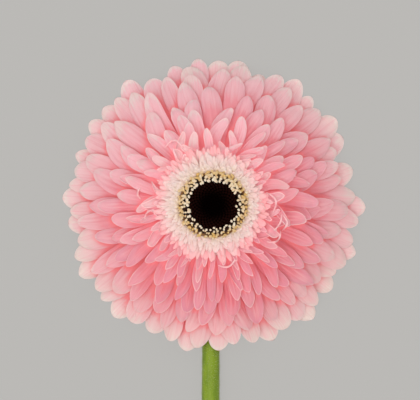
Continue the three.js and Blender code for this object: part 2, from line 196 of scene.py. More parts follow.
def stalk_x(y):
    along = np.clip(-y / STALK_LENGTH, 0, 1)
    return STALK_NECK_X * np.minimum(1, 8 * along) - STALK_SWAY * along**3


def stalk_radius(y):
    return lerp(STALK_NECK_RADIUS, STALK_CUT_RADIUS, np.clip(-y / STALK_LENGTH, 0, 1))


# ---- Meshes ----

POLE_RADIUS = 0.01


def table(columns, *rows):
    """Rows of values as dicts, with these column names."""
    return [dict(zip(columns.split(), row)) for row in rows]


def at_clock(clock, r, z):
    """Points at clock angles in radians, distances from the head's axis and heights."""
    return np.stack([r * np.sin(clock), r * np.cos(clock), z + 0 * r * clock], axis=-1)


def grid_normals(points):
    """Unit normals of a grid of points (rows, columns, 3), on the side that faces up."""
    normals = np.cross(np.gradient(points, axis=1), np.gradient(points, axis=0))
    return normals / np.maximum(np.linalg.norm(normals, axis=-1, keepdims=True), 1e-9)


def finer(points, times):
    """A grid of points with this many times more rows, evenly from its first row to its last."""
    count = len(points)
    at = np.linspace(0, count - 1, times * count)
    row = np.minimum(at.astype(int), count - 2)
    return lerp(points[row], points[row + 1], (at - row)[:, None, None])


def shell(middle, half_thickness):
    """A closed thin shell round a grid of points: its vertices, upper side first, and its faces."""
    rows, columns = middle.shape[:2]
    lift = grid_normals(middle) * np.broadcast_to(half_thickness, (rows, columns))[..., None]
    vertices = np.concatenate([(middle + lift).reshape(-1, 3), (middle - lift).reshape(-1, 3)])
    under = rows * columns
    index = np.arange(under).reshape(rows, columns)
    a, b = index[:-1, :-1].ravel(), index[:-1, 1:].ravel()
    c, d = index[1:, 1:].ravel(), index[1:, :-1].ravel()
    edge = np.concatenate([index[0, :-1], index[:-1, -1], index[-1, :0:-1], index[:0:-1, 0]])
    ahead = np.roll(edge, -1)
    faces = [
        np.stack([a, b, c, d], axis=1),
        np.stack([d, c, b, a], axis=1) + under,
        np.stack([ahead, edge, edge + under, ahead + under], axis=1),
    ]
    return vertices, np.concatenate(faces)


def ring_faces(rows, sides, closed=False):
    """Faces between rings of points, the last one joined to the first one where closed."""
    index = np.arange(rows * sides).reshape(rows, sides)
    if closed:
        index = np.concatenate([index, index[:1]])
    ahead = np.roll(index, -1, axis=1)
    return np.stack([index[:-1], index[1:], ahead[1:], ahead[:-1]], axis=-1).reshape(-1, 4)


def flipped(faces):
    """The same four-sided faces with their other side out."""
    return faces[:, [0, 3, 2, 1]]


def turned(profile, sides):
    """A ring of this closed profile of (radius, height) round the head's axis."""
    clocks = np.arange(sides) * TURN / sides
    rings = [at_clock(clocks, r, z) for r, z in profile]
    return np.concatenate(rings), ring_faces(len(rings), sides, closed=True)


def capped(radii, heights, clocks):
    """A solid of rings closed at both ends: its points, their share of the rings, and its faces."""
    radii = [POLE_RADIUS, *radii, POLE_RADIUS]
    heights = [heights[0], *heights, heights[-1]]
    rings = [at_clock(clocks, r, z) for r, z in zip(radii, heights)]
    up = np.repeat(np.linspace(0, 1, len(rings)), len(clocks))
    return np.concatenate(rings), up, ring_faces(len(rings), len(clocks))


def ball(rings, sides):
    """A unit ball with its poles on Z: its vertices and its triangles."""
    polar = np.pi * np.arange(1, rings)[:, None] / rings
    around = TURN * np.arange(sides)[None, :] / sides
    level = np.cos(polar) + 0 * around
    body = np.stack([np.sin(polar) * np.cos(around), np.sin(polar) * np.sin(around), level], axis=-1)
    vertices = np.concatenate([[[0, 0, 1]], body.reshape(-1, 3), [[0, 0, -1]]])
    index = 1 + np.arange((rings - 1) * sides).reshape(rings - 1, sides)
    ahead = np.roll(index, -1, axis=1)
    top, bottom = 0 * index[0], 0 * index[0] + len(vertices) - 1
    faces = [
        np.stack([top, index[0], ahead[0]], axis=1),
        np.stack([bottom, ahead[-1], index[-1]], axis=1),
        np.stack([index[:-1], index[1:], ahead[1:]], axis=-1).reshape(-1, 3),
        np.stack([index[:-1], ahead[1:], ahead[:-1]], axis=-1).reshape(-1, 3),
    ]
    return vertices, np.concatenate(faces)


def rotation(yaw, pitch):
    """The matrix that turns points by a pitch about X, then by a yaw about Z, in radians."""
    cy, sy, cp, sp = math.cos(yaw), math.sin(yaw), math.cos(pitch), math.sin(pitch)
    about_z = np.array([[cy, -sy, 0], [sy, cy, 0], [0, 0, 1]])
    about_x = np.array([[1, 0, 0], [0, cp, -sp], [0, sp, cp]])
    return about_z @ about_x


def add_object(name, data):
    thing = bpy.data.objects.new(name, data)
    bpy.context.scene.collection.objects.link(thing)
    return thing


class Mesh:
    """Vertices, faces and named values per vertex, gathered from many small solids."""

    def __init__(self):
        self.vertices = []
        self.faces = []
        self.slots = []
        self.values = {}
        self.count = 0

    def add(self, vertices, *faces, slot=0, **values):
        """Adds a solid of one or more groups of faces, with a value or one per vertex for each name."""
        for group in faces:
            self.faces.append(group + self.count)
            self.slots.append(np.full(len(group), slot))
        for name, value in values.items():
            whole = np.broadcast_to(np.asarray(value, float).ravel(), (len(vertices),))
            self.values.setdefault(name, []).append(whole)
        self.vertices.append(vertices)
        self.count += len(vertices)

    def add_sheet(self, middle, half_thickness, **values):
        """Adds a thin shell; a pair of values is one for its upper side and one for its underside."""
        whole = {}
        for name, value in values.items():
            sides = value if isinstance(value, tuple) else (value, value)
            whole[name] = np.concatenate([np.broadcast_to(v, middle.shape[:2]).ravel() for v in sides])
        self.add(*shell(middle, half_thickness), **whole)

    def piece(self, node, slot, *materials):
        """Makes the Blender object, which stands for a node and rides with it."""
        name = "fine_" + node
        points = (np.concatenate(self.vertices) + [AXIS_X, AXIS_Y, SURFACE_Z]) * MM
        faces = [face for group in self.faces for face in group.tolist()]
        mesh = bpy.data.meshes.new(name)
        mesh.from_pydata(points.tolist(), [], faces)
        for material in materials:
            mesh.materials.append(material)
        mesh.polygons.foreach_set("material_index", np.concatenate(self.slots).astype(np.int32))
        mesh.polygons.foreach_set("use_smooth", np.ones(len(faces), bool))
        for key, parts in self.values.items():
            attribute = mesh.attributes.new(key, "FLOAT", "POINT")
            attribute.data.foreach_set("value", np.concatenate(parts).astype(np.float32))
        mesh.update()
        piece = add_object(name, mesh)
        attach(piece, "root")
        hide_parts(node)


# ---- Materials ----

def linear(*channels):
    """An sRGB colour of 0 to 255 as the linear colour that Blender takes."""
    shares = [v / 255 for v in channels]
    light = [v / 12.92 if v <= 0.04045 else ((v + 0.055) / 1.055) ** 2.4 for v in shares]
    return (*light, 1.0)


class Shader:
    """A material with one Principled shader, and short calls for the nodes that feed it."""

    def __init__(self, name, roughness, specular=0.3, sheen=0.0):
        self.material = bpy.data.materials.new(name)
        self.material.use_nodes = True
        self.nodes = self.material.node_tree.nodes
        self.links = self.material.node_tree.links
        self.principled = self.nodes["Principled BSDF"]
        surface = {"Roughness": roughness, "Specular IOR Level": specular, "Sheen Weight": sheen}
        self.set(self.principled, surface)

    def set(self, node, inputs):
        """Sets or links a node's inputs; a colour of three numbers is sRGB, and one of four linear."""
        for name, value in inputs.items():
            socket = node.inputs[name]
            if isinstance(value, bpy.types.NodeSocket):
                self.links.new(value, socket)
            elif socket.type == "RGBA" and len(value) == 3:
                socket.default_value = linear(*value)
            else:
                socket.default_value = value

    def node(self, kind, inputs, **settings):
        node = self.nodes.new("ShaderNode" + kind)
        for name, setting in settings.items():
            setattr(node, name, setting)
        self.set(node, inputs)
        return node

    def translucent(self, weight, radius, scale):
        """Light that goes in comes out up to this far off, in metres, times each channel's radius."""
        light = {"Subsurface Weight": weight, "Subsurface Radius": radius, "Subsurface Scale": scale}
        self.set(self.principled, light)

    def glow(self, color, strength):
        """Stands for light that thin petals pass on to each other, or that lights the paper."""
        self.set(self.principled, {"Emission Color": color, "Emission Strength": strength})

    def value(self, name):
        return self.node("Attribute", {}, attribute_name=name).outputs["Fac"]

    def math(self, operation, a, b=0.0):
        return self.node("Math", {0: a, 1: b}, operation=operation).outputs[0]

    def times(self, a, b):
        return self.math("MULTIPLY", a, b)

    def plus(self, a, b):
        return self.math("ADD", a, b)

    def centred(self, value, height):
        """A value of 0 to 1 as one that swings round 0, this much from lowest to highest."""
        return self.times(self.math("SUBTRACT", value, 0.5), height)

    def remap(self, value, low, high, to_low=0.0, to_high=1.0):
        """A soft step from to_low where the value is low to to_high where it is high."""
        ends = {"From Min": low, "From Max": high, "To Min": to_low, "To Max": to_high}
        inputs = {"Value": value, **ends}
        return self.node("MapRange", inputs, interpolation_type="SMOOTHSTEP").outputs["Result"]

    def noise(self, where, scale, detail):
        return self.node("TexNoise", {"Vector": where, "Scale": scale, "Detail": detail}).outputs["Fac"]

    def grain(self, scale, detail=3.0):
        """Noise in the object's own space, this many times finer than a metre."""
        return self.noise(self.nodes.new("ShaderNodeTexCoord").outputs["Object"], scale, detail)

    def streaks(self, across, across_scale, along, along_scale, seed, detail):
        """Noise over a surface, stretched by its own scale each way."""
        x = self.times(across, across_scale)
        y = self.times(along, along_scale)
        return self.noise(self.node("CombineXYZ", {0: x, 1: y, 2: seed}).outputs[0], 1.0, detail)

    def mix(self, amount, a, b, blend="MIX"):
        inputs = {"Factor": amount, 6: a, 7: b}
        return self.node("Mix", inputs, data_type="RGBA", blend_type=blend).outputs[2]

    def ramp(self, value, stops):
        node = self.node("ValToRGB", {"Fac": value})
        elements = node.color_ramp.elements
        while len(elements) < len(stops):
            elements.new(0.5)
        for element, (position, color) in zip(elements, stops):
            element.position = position
            element.color = linear(*color)
        return node.outputs["Color"]

    def bump(self, height, strength, distance):
        node = self.node("Bump", {"Strength": strength, "Distance": distance, "Height": height})
        self.set(self.principled, {"Normal": node.outputs["Normal"]})

    def color(self, value):
        self.set(self.principled, {"Base Color": value})
        return self.material


# ---- Petals ----

RIDGES = 4
PETAL_ROWS = 30
PETAL_COLUMNS = 13
PETAL_THICKNESS = 0.3
CURLED_FROM = 4
HOOKED_CURL = 1.1
HOOKED_WIDTH = 1.4
HOOKED_RIM_WHITE = 0.85
ROLLED_WIDTH = 0.62
ROLLED_ARCH = 0.45
LEVEL_CELLS = 4
CREAM_BY_WHORL = (1.0, 0.8, 0.45, 0.2, 0.0)
STALK_CLOCK = 180 - math.degrees(math.atan2(float(stalk_x(-REST_RADIUS)), REST_RADIUS))

# Petal colours from the tip inwards, each at its share of the petal's fade length.
# The ramp deepens towards the foot, partly the petal's own colour and partly painted shade under the
# petals above.
PETAL_COLORS = [
    (0.00, (228, 204, 202)),
    (0.08, (232, 192, 196)),
    (0.26, (238, 189, 195)),
    (0.62, (236, 181, 188)),
    (1.00, (236, 157, 165)),
]
# Of these, the glow, rim, shine, rosy and coral colours, and the vein colour where it lies in the
# furrows, are painted light and shade.
PETAL_GLOW = (1.0, 0.42, 0.47, 1.0)
PETAL_RIM = (247, 207, 206)
PETAL_CREAM = (238, 218, 208)
PETAL_DUSK = (214, 134, 154)
PETAL_VEIN = (220, 104, 124)
PETAL_SHINE = (252, 204, 206)
PETAL_ROSY = (0.94, 0.6, 0.63, 1.0)
PETAL_CORAL = (237, 115, 116)


def petal_material():
    """Pink petal: pale tip, fine veins, painted glow, and painted light and shade: coral where covered,
    a rim highlight with mauve inside it.
    """
    s = Shader("petal", roughness=0.5, specular=0.25, sheen=0.05)
    s.translucent(0.7, (1.0, 0.85, 0.85), 0.0005)
    s.glow(PETAL_GLOW, s.plus(s.times(s.value("cover"), 0.1), s.value("lit")))
    from_tip = s.value("from_tip")
    side = s.value("side_mm")
    tone = s.value("tone")
    rim = s.value("rim")
    veins = s.streaks(side, 2.2, from_tip, 0.06, tone, 3.0)
    blush = s.streaks(side, 0.5, from_tip, 0.12, tone, 1.0)
    wander = s.centred(blush, 0.5)

    # Deeper towards the foot, partly as painted shade under the petals above.
    faded = s.math("DIVIDE", from_tip, s.value("fade"))
    depth = s.plus(s.plus(faded, s.value("deep")), s.plus(wander, s.centred(veins, 0.55)))
    pallor = s.times(s.remap(rim, 1.6, 0.0), s.value("margin_pale"))
    color = s.ramp(s.math("SUBTRACT", depth, pallor), PETAL_COLORS)
    # Painted shade: rosier and darker towards clock 165.
    color = s.mix(s.value("rosy"), color, PETAL_ROSY, "MULTIPLY")

    # Painted shade in the furrows between the ridges and a painted highlight on the ridges; the veins
    # darken with the same colour.
    angle = s.plus(s.times(s.value("share"), RIDGES * math.pi), s.centred(blush, 4.0))
    furrow = s.math("COSINE", angle)
    shown = s.times(s.remap(from_tip, 0.5, 7.0), s.remap(rim, 0.3, 1.8))
    banded = s.times(s.value("banded"), shown)
    stripe = s.times(s.remap(furrow, 0.0, 1.0), banded)
    shine = s.times(s.remap(furrow, -0.3, -1.0), banded)
    cream = s.times(s.remap(from_tip, 12.0, 0.5), s.value("cream"))
    color = s.mix(s.times(cream, s.remap(veins, 0.75, 0.35, 0.6, 1.0)), color, PETAL_CREAM)
    color = s.mix(s.times(shine, 0.22), color, PETAL_SHINE)
    lines = s.math("MAXIMUM", s.times(s.remap(veins, 0.48, 0.75), 0.6), stripe)
    color = s.mix(s.times(lines, s.remap(s.value("cream"), 0.0, 0.7, 0.36, 0.15)), color, PETAL_VEIN)

    # A painted highlight on the rim near the tip, with painted mauve shade just inside it.
    dusk = s.times(s.remap(rim, 3.0, 0.4), s.remap(from_tip, 16.0, 1.0, 0.2, 0.8))
    color = s.mix(s.times(dusk, s.value("rim_dusk")), color, PETAL_DUSK)
    near_tip = s.times(s.remap(from_tip, 9.0, 1.5), s.value("rim_white"))
    edge = s.remap(s.plus(rim, wander), 0.42, 0.1)
    color = s.mix(s.times(edge, near_tip), color, PETAL_RIM)
    # Painted coral shade where other petals lie close above, and on the underside.
    color = s.mix(s.value("cover"), color, PETAL_CORAL)
    s.bump(s.math("SUBTRACT", veins, s.times(stripe, 0.7)), 0.45, 0.0003)
    return s.color(color)


def foot_radius(k):
    """How far from the axis the petals of whorl k spring from the bed."""
    return bed_radius(PETAL_FOOT + WHORL_STEP * k) + SEAT_GAP


def whorl_height(k, usual, r, clock):
    """The height of whorl k's surface, where its petals usually reach this far from the axis."""
    inner = foot_radius(k)
    to_rest = np.clip((r - inner) / (REST_RADIUS - inner), 0, 1)
    to_tip = np.clip((r - inner) / (usual - inner), 0, 1.1)
    under = PETAL_FOOT * (1 - to_rest**REFLEX) + WHORL_STEP * k
    own_lift = TIP_LIFT * min(k, LIFTED_WHORLS) + INNER_TIP_LIFT * max(0, k - LIFTED_WHORLS)
    push = 1 - smooth(STALK_LIFT_HALF, STALK_LIFT_END, np.abs(clock - STALK_CLOCK))
    pushed = STALK_LIFT * max(0, 1 - k / STALK_LIFT_FADE) * push
    return under + (own_lift + pushed) * to_tip**2


def petal_outline(t, widest, bluntness, point):
    """A petal's share of its full width: a narrow foot, then broad, then round or bluntly pointed."""
    rising = np.sin(math.pi / 2 * np.clip(t / widest, 0, 1) ** 1.05)
    beyond = np.clip((t - widest) / (1 - widest), 0, 1)
    return np.where(t < widest, rising, np.maximum(0.0006, 1 - beyond**bluntness) ** point)


def petal_curl(k, random):
    """How far a petal's sides turn, in radians: up where positive, down where negative."""
    if k >= CURLED_FROM and random.random() < 0.12 * (k - CURLED_FROM + 1):
        return random.uniform(0.5, 1.35)
    if k >= 1 and random.random() < 0.4:
        return random.uniform(0.12, 0.4)
    return -random.uniform(0.25, 0.6)


def rim_distance(along, aside):
    """How far each point of a petal's plan is from its outline."""
    edge_x = np.concatenate([along[:, 0], along[-1], along[::-1, -1]])
    edge_y = np.concatenate([aside[:, 0], aside[-1], aside[::-1, -1]])
    gap = np.hypot(along[..., None] - edge_x, aside[..., None] - edge_y)
    return gap.min(axis=-1)


def spread(values, least=False):
    """The highest of each value and its neighbours, or the lowest, smoothed along the row."""
    padded = np.pad(values, 2, mode="edge")
    pick = np.min if least else np.max
    extreme = pick([padded[i : i + len(values)] for i in range(5)], axis=0)
    padded = np.pad(extreme, 2, mode="edge")
    weights = (0.1, 0.22, 0.36, 0.22, 0.1)
    return sum(w * padded[i : i + len(values)] for i, w in enumerate(weights))


class Heap:
    """How high the petals laid so far reach, on a square grid round the head's axis."""

    HALF = 64.0
    CELL = 0.4
    FINER_ROWS = 6
    FINER_COLUMNS = 3
    CLEAR = 0.06
    MOST_LIFT = 3.2
    MOST_DROP = 2.0
    SAG = 0.75

    def __init__(self):
        count = int(2 * self.HALF / self.CELL)
        self.height = np.zeros((count, count))

    def cells(self, points):
        """The grid's row and column under each point."""
        index = ((points[..., :2] + self.HALF) / self.CELL).astype(int)
        index = np.clip(index, 0, len(self.height) - 1)
        return index[..., 0], index[..., 1]

    def lay(self, points):
        """Raises the grid to a petal's points, and to finer ones between them."""
        columns = finer(points.swapaxes(0, 1), self.FINER_COLUMNS).swapaxes(0, 1)
        fine = finer(columns, self.FINER_ROWS)
        np.maximum.at(self.height, self.cells(fine), fine[..., 2])

    def above(self, points, thin):
        """How far each point is clear of what lies under it."""
        return points[..., 2] - self.height[self.cells(points)] - self.CLEAR - thin

    def blurred(self, cells):
        """The mean height within this many cells, on the same grid."""
        total = np.pad(self.height, cells, mode="edge")
        for axis in (0, 1):
            total = np.cumsum(total, axis=axis)
            ahead = np.take(total, np.arange(2 * cells, total.shape[axis]), axis=axis)
            start = np.take(total, np.arange(0, total.shape[axis] - 2 * cells), axis=axis)
            total = (ahead - start) / (2 * cells)
        return total

    def settle(self, points, thin, t, u):
        """Lifts a petal, and tips it to one side, so that it lies on those under it."""
        middle = points.shape[1] // 2
        for _ in range(2):
            need = np.clip(-self.above(points, thin), 0, self.MOST_LIFT) * smooth(0.12, 0.3, t)
            left = spread(need[:, : middle + 1].max(axis=1))
            right = spread(need[:, middle:].max(axis=1))
            points[..., 2] += lerp(left[:, None], right[:, None], (u + 1) / 2)
        room = np.clip(self.above(points, thin).min(axis=1), 0, self.MOST_DROP)
        sag = self.SAG * spread(room, least=True) * smooth(0.4, 0.95, t[:, 0])
        points[..., 2] -= sag[:, None]
        return points


class Petal:
    """One petal of whorl k. Its random draws are made in the order plan, relief, looks."""

    def __init__(self, k, index):
        tips = PETAL_WHORLS[k]
        spacing = 360 / len(tips)
        offset = sum(clock - i * spacing for i, (clock, _) in enumerate(tips)) / len(tips)
        self.k = k
        self.index = index
        self.random = np.random.default_rng(SEED + 1000 * k + index)
        self.tip_clock, self.reach = tips[index]
        self.foot_clock = offset + index * spacing
        self.inner = foot_radius(k)
        self.room = TURN * self.inner / len(tips)
        self.usual = sum(reach for _, reach in tips) / len(tips)
        # 0 for the outermost whorl and 1 for the innermost.
        self.inside = k / (len(PETAL_WHORLS) - 1)
        self.hooked = (k, self.tip_clock) in HOOKED_PETALS
        # 1 towards clock 165, which is less lit and painted rosier and darker as shade, and -1 towards
        # clock 345.
        self.low_right = -math.cos(math.radians(self.tip_clock - 345))
        # 1 about clock 318, where the petals are painted paler and glow more, as painted light.
        self.upper_left = math.exp(-(((self.tip_clock - 318) / 28) ** 2))
        # 1 for the tidier inner petals about clock 190.
        self.neat = math.exp(-(((self.tip_clock - 190) / 60) ** 2)) * smooth(2, 7, k)
        self.unruly = 1 - 0.6 * self.neat
        # Shares of the way from foot to tip, closer together there, and from side to side.
        self.t = (1 - (1 - np.linspace(0, 1, PETAL_ROWS)) ** 1.6)[:, None]
        self.u = np.sin(np.linspace(-1, 1, PETAL_COLUMNS) * math.pi / 2)[None, :]
        self.grown = smooth(0.15, 0.6, self.t)

    def draw_width(self):
        usual = SHOWN_WIDTHS[self.k]
        width = usual * self.random.uniform(0.86 - 0.1 * self.inside, 1.14)
        width *= 1 - 0.1 * self.low_right * smooth(0, 3, self.k) - 0.12 * self.neat
        if self.hooked:
            return HOOKED_WIDTH * usual
        return STANDOUT_WIDTHS.get((self.k, self.tip_clock), width)

    def plan(self):
        """The petal seen from above: its width, its outline, and the curl and sway of its sides."""
        k, inside, t, u, random = self.k, self.inside, self.t, self.u, self.random
        self.width = self.draw_width()
        foot_width = min(0.55 * self.width, self.room * 0.8)
        widest = lerp(random.uniform(0.72, 0.82), random.uniform(0.55, 0.78), inside)
        bluntness = lerp(random.uniform(2.3, 3.3), random.uniform(1.6, 2.6), math.sqrt(inside))
        point = 0.5 + (0.1 if k < 2 else 0.24) * ((7 * self.index + 3 * k) % 5) / 4
        outline = petal_outline(t, widest, bluntness, point)
        rising = lerp(foot_width, self.width, outline)
        half = np.where(t < widest, rising, self.width * outline) / 2
        lobes = np.exp(-(((np.abs(u) - 0.36) / 0.13) ** 2))
        notch = random.uniform(0.0, 0.3) * lobes * smooth(0.8, 1.0, t)
        self.along = lerp(self.inner, self.reach, t) - notch
        bow = petal_curl(k, random)
        hook = random.normal(0, 0.25 + 1.1 * inside) * self.unruly
        if self.hooked:
            bow = HOOKED_CURL
            hook = HOOKED_PETALS[k, self.tip_clock]
        curl = bow * (0.02 + self.grown)
        self.flat_side = u * half
        self.cup = half / curl * (1 - np.cos(curl * u))
        aside = half / curl * np.sin(curl * u) + hook * smooth(0.35, 1, t) ** 2
        self.r = np.hypot(self.along, aside)
        sway = random.normal(0, 1.0 + 3.5 * inside) * self.unruly * np.sin(math.pi * t)
        bend = lerp(self.foot_clock, self.tip_clock, np.sin(t * math.pi / 2)) + sway
        self.clock = bend + np.degrees(np.arctan2(aside, self.along))

    def relief(self):
        """The heights of the petal's points before it settles on the heap."""
        inside, t, u, random = self.inside, self.t, self.u, self.random
        side = 1 if self.index % 2 else -1
        raised = side * ALTERNATE * np.minimum(1, PART_BY * t)
        furrows = (1 + np.cos(RIDGES * math.pi * u)) / 2 * (1 - u**4) * (1 - smooth(0.85, 0.99, t))
        grooves = -random.uniform(0.01, 0.05) * self.width * self.grown * furrows
        tilt = math.radians(random.normal(0, 4 + 12 * inside * self.unruly))
        roll = tilt * self.flat_side * smooth(0.2, 1.0, t)
        lift = random.normal(0, 0.35) * t**2 + random.uniform(0, 1.8) * max(0.0, inside - 0.5) * t**3
        ripple = np.sin(t * random.uniform(7, 12) + TURN * random.random())
        wave = 0.03 * self.width * self.grown * np.abs(u) ** 3 * ripple
        level = whorl_height(self.k, self.usual, self.r, self.clock)
        return level + raised + self.cup + grooves + roll + lift + wave

    def looks(self):
        """The values that the petal material reads, apart from the painted coral shade."""
        k, inside, low_right, random = self.k, self.inside, self.low_right, self.random
        past_outer = smooth(0, 3, k)
        past_middle = 0.5 + 0.5 * low_right
        # fade and deep also paint light and shade: paler about clock 318, deeper towards clock 165.
        fade = 12.0 - 3.5 * past_outer + 9.5 * smooth(4.5, 8.5, k) + 5.0 * self.upper_left * past_outer
        deep = random.uniform(-0.16, 0.06) + 0.1 * inside * low_right + 0.14 * smooth(2, 4.5, k)
        deep = deep - 0.22 * smooth(5.5, 8.5, k) - 0.14 * self.upper_left * past_outer
        rosy = 0.47 + 0.47 * low_right + random.uniform(-0.12, 0.12)
        cream = 0.5 + 0.25 * low_right + random.uniform(-0.2, 0.2)
        banded = random.uniform(0.15, 1.0) * lerp(0.4, 1.0, past_middle) * smooth(-1, 4, k)
        rim_white = HOOKED_RIM_WHITE
        if not self.hooked:
            rim_white = random.uniform(0.35, 1.0) * lerp(0.45, 0.75, min(1, k / 5))
            rim_white *= 0.8 + 0.2 * low_right
        rim_dusk = random.uniform(0.25, 1.0) * lerp(0.25, 0.9, past_middle) * smooth(0.5, 4, k)
        return dict(
            from_tip=(1 - self.t) * (self.reach - self.inner),
            side_mm=self.flat_side,
            rim=rim_distance(self.along, self.flat_side),
            tone=self.index * 7.3 + k * 31.7,
            fade=fade,
            deep=deep,
            rosy=rosy * min(1.0, 0.3 + 0.2 * k, 2.3 - 0.18 * k),
            cream=cream * CREAM_BY_WHORL[min(k, len(CREAM_BY_WHORL) - 1)],
            share=self.u,
            lit=0.015 + 0.02 * self.upper_left + (0.14 - 0.03 * low_right) * inside**3.4,
            banded=banded,
            margin_pale=0.3 if k == 0 else lerp(0.16, 0.06, inside),
            rim_white=rim_white,
            rim_dusk=rim_dusk,
        )

    def lay(self, heap):
        """Lays the petal on the heap and keeps its points, its half thickness and its looks."""
        t, u = self.t, self.u
        self.plan()
        points = at_clock(np.radians(self.clock), self.r, self.relief())
        thinner = (1 - 0.45 * np.abs(u) ** 4) * (1 - 0.4 * smooth(0.85, 1, t))
        self.thin = PETAL_THICKNESS / 2 * thinner
        points = heap.settle(points, self.thin, t, u)
        points[..., 2] = np.maximum(points[..., 2], PETAL_THICKNESS / 2 + 0.05)
        heap.lay(points)
        self.points = points
        self.values = self.looks()

    def add_to(self, mesh, heap, level):
        """Adds the petal once all are laid; it gets painted coral shade where others come close above
        it, and on its underside.
        """
        inside, values = self.inside, self.values
        above = level[heap.cells(self.points)] - self.points[..., 2]
        buried = smooth(0.35, lerp(2.4, 3.5, inside), above)
        cover = (0.8 - 0.55 * inside**1.5) * buried * smooth(2.5, 9, values["from_tip"])
        values["lit"] = values["lit"] + 0.2 * inside**2 * buried
        mesh.add_sheet(self.points, self.thin, **values, cover=(cover, np.maximum(cover, 0.55)))


def add_rolled_petal(mesh, heap, start, end, bow):
    """The upper rim of a rolled petal, which arches from its foot over the heap to its tip."""
    t = np.linspace(0, 1, 18)
    u = np.linspace(-1, 1, 5)[None, :]
    foot, tip = [at_clock(np.radians(clock), r, 0.0) for clock, r in (start, end)]
    chord = tip - foot
    out = np.array([chord[1], -chord[0], 0.0]) / np.hypot(chord[0], chord[1])
    out *= np.sign(np.dot(out, foot + tip))
    arch = np.sin(math.pi * t)
    path = foot + t[:, None] * chord + bow * arch[:, None] * out
    ahead = np.gradient(path, axis=0)
    ahead /= np.linalg.norm(ahead, axis=1, keepdims=True)
    aside = np.stack([ahead[:, 1], -ahead[:, 0], 0 * t], axis=1)
    flat_side = ROLLED_WIDTH / 2 * np.sqrt(np.maximum(0.05, arch))[:, None] * u
    points = path[:, None, :] + aside[:, None, :] * flat_side[..., None]
    level = spread(heap.height[heap.cells(points)].max(axis=1))
    points[..., 2] = (level - 0.1 + ROLLED_ARCH * arch)[:, None] - 0.1 * u**2
    mesh.add_sheet(
        points, PETAL_THICKNESS / 2, from_tip=1.0, side_mm=flat_side, rim=0.0, tone=bow, fade=16.0,
        deep=0.3, rosy=0.5, cream=0.0, share=0.0, lit=0.08, banded=0.0, margin_pale=0.0,
        rim_white=0.6, rim_dusk=0.0, cover=0.0)


def build_petals(material):
    """Lays whorl by whorl, every other petal first; the outermost whorl's are a piece each."""
    heap = Heap()
    whorls = [[Petal(k, index) for index in range(len(tips))] for k, tips in enumerate(PETAL_WHORLS)]
    for petals in whorls:
        for petal in petals[0::2] + petals[1::2]:
            petal.lay(heap)
    level = heap.blurred(LEVEL_CELLS)
    for petal in whorls[0]:
        mesh = Mesh()
        petal.add_to(mesh, heap, level)
        mesh.piece(f"ray_petal_{petal.index + 1:02d}", "petal_pink", material)
    for k, petals in enumerate(whorls[1:], start=1):
        mesh = Mesh()
        for petal in petals:
            petal.add_to(mesh, heap, level)
        if petals is whorls[-1]:
            for start, end, bow in ROLLED_PETALS:
                add_rolled_petal(mesh, heap, start, end, bow)
        mesh.piece(f"ray_whorl_{k + 1:02d}", "petal_pink", material)


# ---- Frill of trans florets ----

FRILL_FROM = 12.0
FRILL_TO = 22.0
FRILL_SHIFT = 1.15
FRILL_LONGEST = 325.0
FRILL_SEED = SEED + 89
FLORET_HALF_THICKNESS = 0.13
DISC_OVAL = 0.95
DISC_OFFSET = 0.75

# Frill colours by distance from the head's axis, from FRILL_FROM to FRILL_TO.
FRILL_COLORS = [
    (0.00, (224, 203, 180)),
    (0.22, (224, 202, 191)),
    (0.45, (228, 190, 185)),
    (0.62, (232, 163, 167)),
    (0.85, (238, 142, 151)),
]

# Rows of florets: how many; where they start and how far they reach from the axis; the heights of
# foot and tip; their width; the scatter of their reach and their lean to a side; how high they
# arch; and how speckled they are.
FRILL_COLUMNS = "count start reach foot tip width ragged lean arch speck"
FRILL_ROWS = {
    "trans_florets_outer": table(
        FRILL_COLUMNS,
        (50, 13.2, 20.4, 33.9, 35.0, 2.7, 0.8, 0.9, 0.4, 0.0),
        (50, 13.0, 19.8, 34.2, 35.5, 2.7, 0.9, 0.9, 0.5, 0.0),
        (54, 12.8, 18.9, 34.8, 36.0, 2.6, 0.9, 0.8, 0.5, 0.1),
        (60, 12.6, 18.0, 35.3, 36.3, 2.4, 0.6, 0.6, 0.5, 0.2)),
    "trans_florets_inner": table(
        FRILL_COLUMNS,
        (66, 12.5, 17.0, 35.7, 36.6, 2.0, 0.5, 0.5, 0.5, 0.3),
        (72, 12.4, 16.0, 36.0, 36.9, 1.7, 0.45, 0.5, 0.4, 0.5),
        (76, 12.3, 15.0, 36.3, 37.1, 1.5, 0.4, 0.5, 0.4, 0.6),
        (80, 12.2, 14.0, 36.6, 37.3, 1.3, 0.35, 0.4, 0.3, 0.6)),
}

# The feet of the florets, under each ring of them: (radius, height) of a closed profile.
COLLARS = {
    "trans_florets_outer": [
        (12.6, 33.4), (17.0, 33.5), (17.6, 33.9), (17.0, 34.5), (15.0, 35.6), (12.6, 35.9)],
    "trans_florets_inner": [
        (12.4, 36.0), (15.0, 36.0), (15.4, 36.3), (14.4, 36.9), (13.2, 37.1), (12.4, 37.1)],
}


